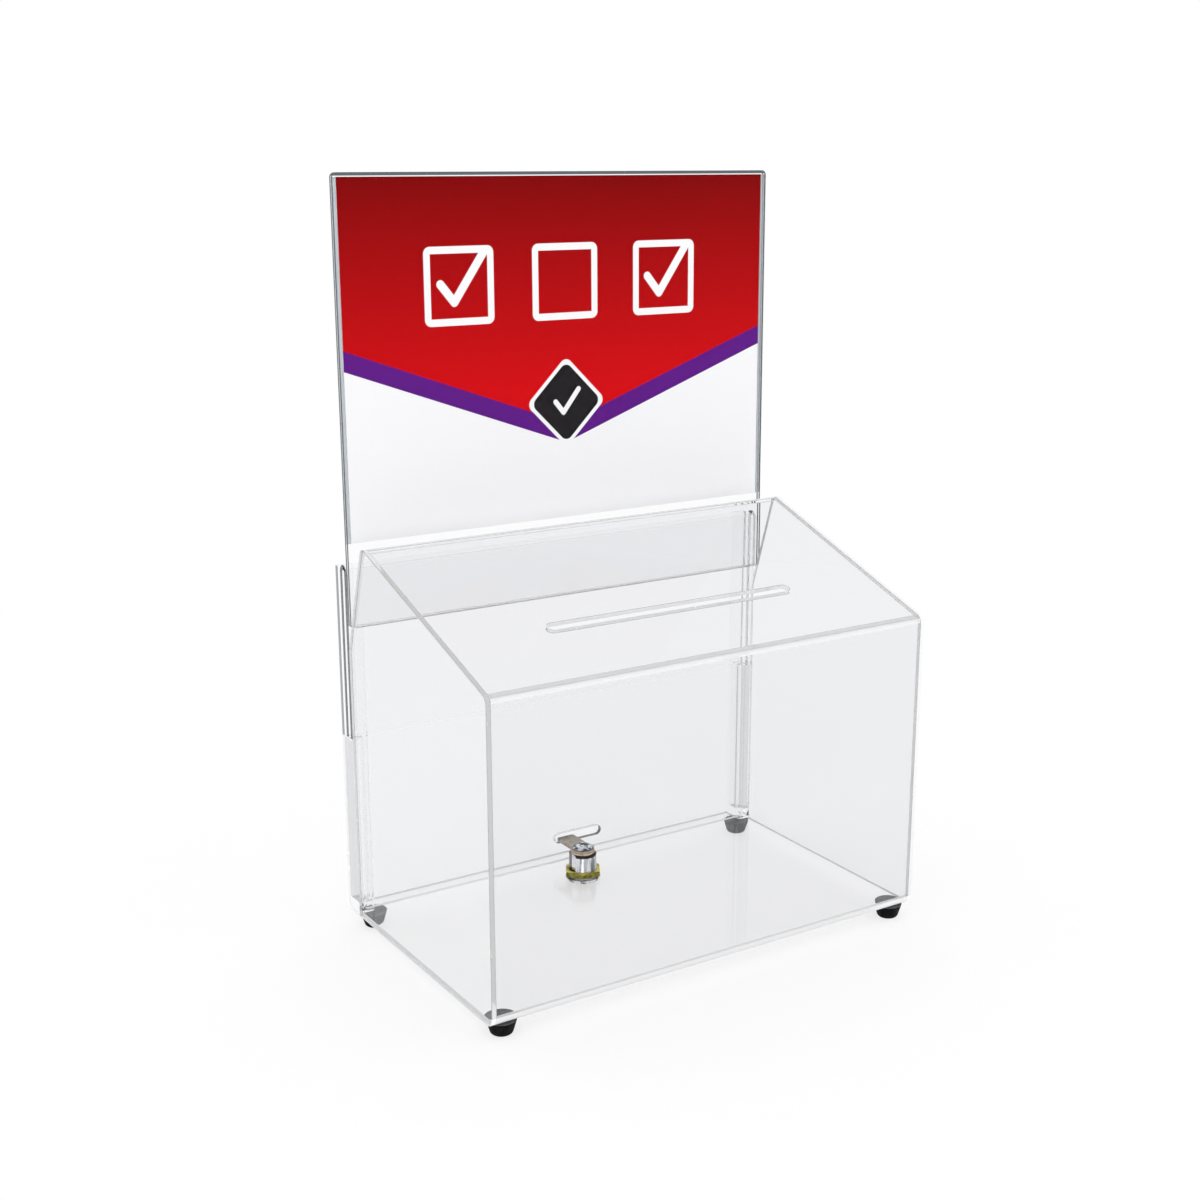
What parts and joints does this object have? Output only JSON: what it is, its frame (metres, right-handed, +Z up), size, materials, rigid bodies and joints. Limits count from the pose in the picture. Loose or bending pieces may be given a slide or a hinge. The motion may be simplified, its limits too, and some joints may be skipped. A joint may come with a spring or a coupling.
{
  "type": "ballot box with header card holder",
  "caption": "Clear acrylic ballot box on rubber feet, with a sloping slotted lid, a lift-out A4 landscape header holder and a sliding rear door held by a cam lock.",
  "frame": {"origin": "middle of the bounding box in X and Y, at the ground under the feet", "axes": "+X to the object's right seen from the front, +Y to the rear, +Z up; the front with the sloping lid faces -Y"},
  "size_m": [0.303, 0.1882, 0.4605],
  "materials": {
    "clear_acrylic": "polished clear sheet",
    "printed_card": "satin printed card",
    "chrome": "polished",
    "steel": "plated, slightly dull",
    "yellow_brass": "yellow passivated",
    "copper_washer": "copper coloured",
    "black_rubber": "matt"
  },
  "bodies": {
    "box": {"side_panel_left": "clear_acrylic", "side_panel_right": "clear_acrylic", "wrap_panel": "clear_acrylic", "door_stop_left": "clear_acrylic", "door_stop_right": "clear_acrylic", "guide_rail_left": "clear_acrylic", "guide_rail_right": "clear_acrylic", "retainer_left": "clear_acrylic", "retainer_right": "clear_acrylic", "lock_body": "chrome", "lock_nut": "yellow_brass", "foot_front_left": "black_rubber", "foot_front_right": "black_rubber", "foot_rear_left": "black_rubber", "foot_rear_right": "black_rubber"},
    "door": {"back_door": "clear_acrylic"},
    "header": {"header_front_sheet": "clear_acrylic", "header_back_sheet": "clear_acrylic", "header_spacer": "clear_acrylic"},
    "card": {"header_card": "printed_card"},
    "cam": {"lock_plug": "steel", "cam_washer": "copper_washer", "lock_cam": "steel", "cam_screw": "chrome"}
  },
  "joints": [
    {"name": "lock_turn", "type": "hinge", "parent": "box", "child": "cam", "pos_m": [-0.0025, 0.05585, 0.009], "axis": [0, 0, 1], "range_deg": [-90, 0]},
    {"name": "door_slide", "type": "slide", "parent": "box", "child": "door", "axis": [0, 0, 1], "range_m": [0, 0.112]},
    {"name": "header_lift", "type": "slide", "parent": "box", "child": "header", "axis": [0, 0, 1], "range_m": [0, 0.06]},
    {"name": "card_slide", "type": "slide", "parent": "header", "child": "card", "axis": [0, 0.0061, 1], "range_m": [0, 0.2]}
  ]
}
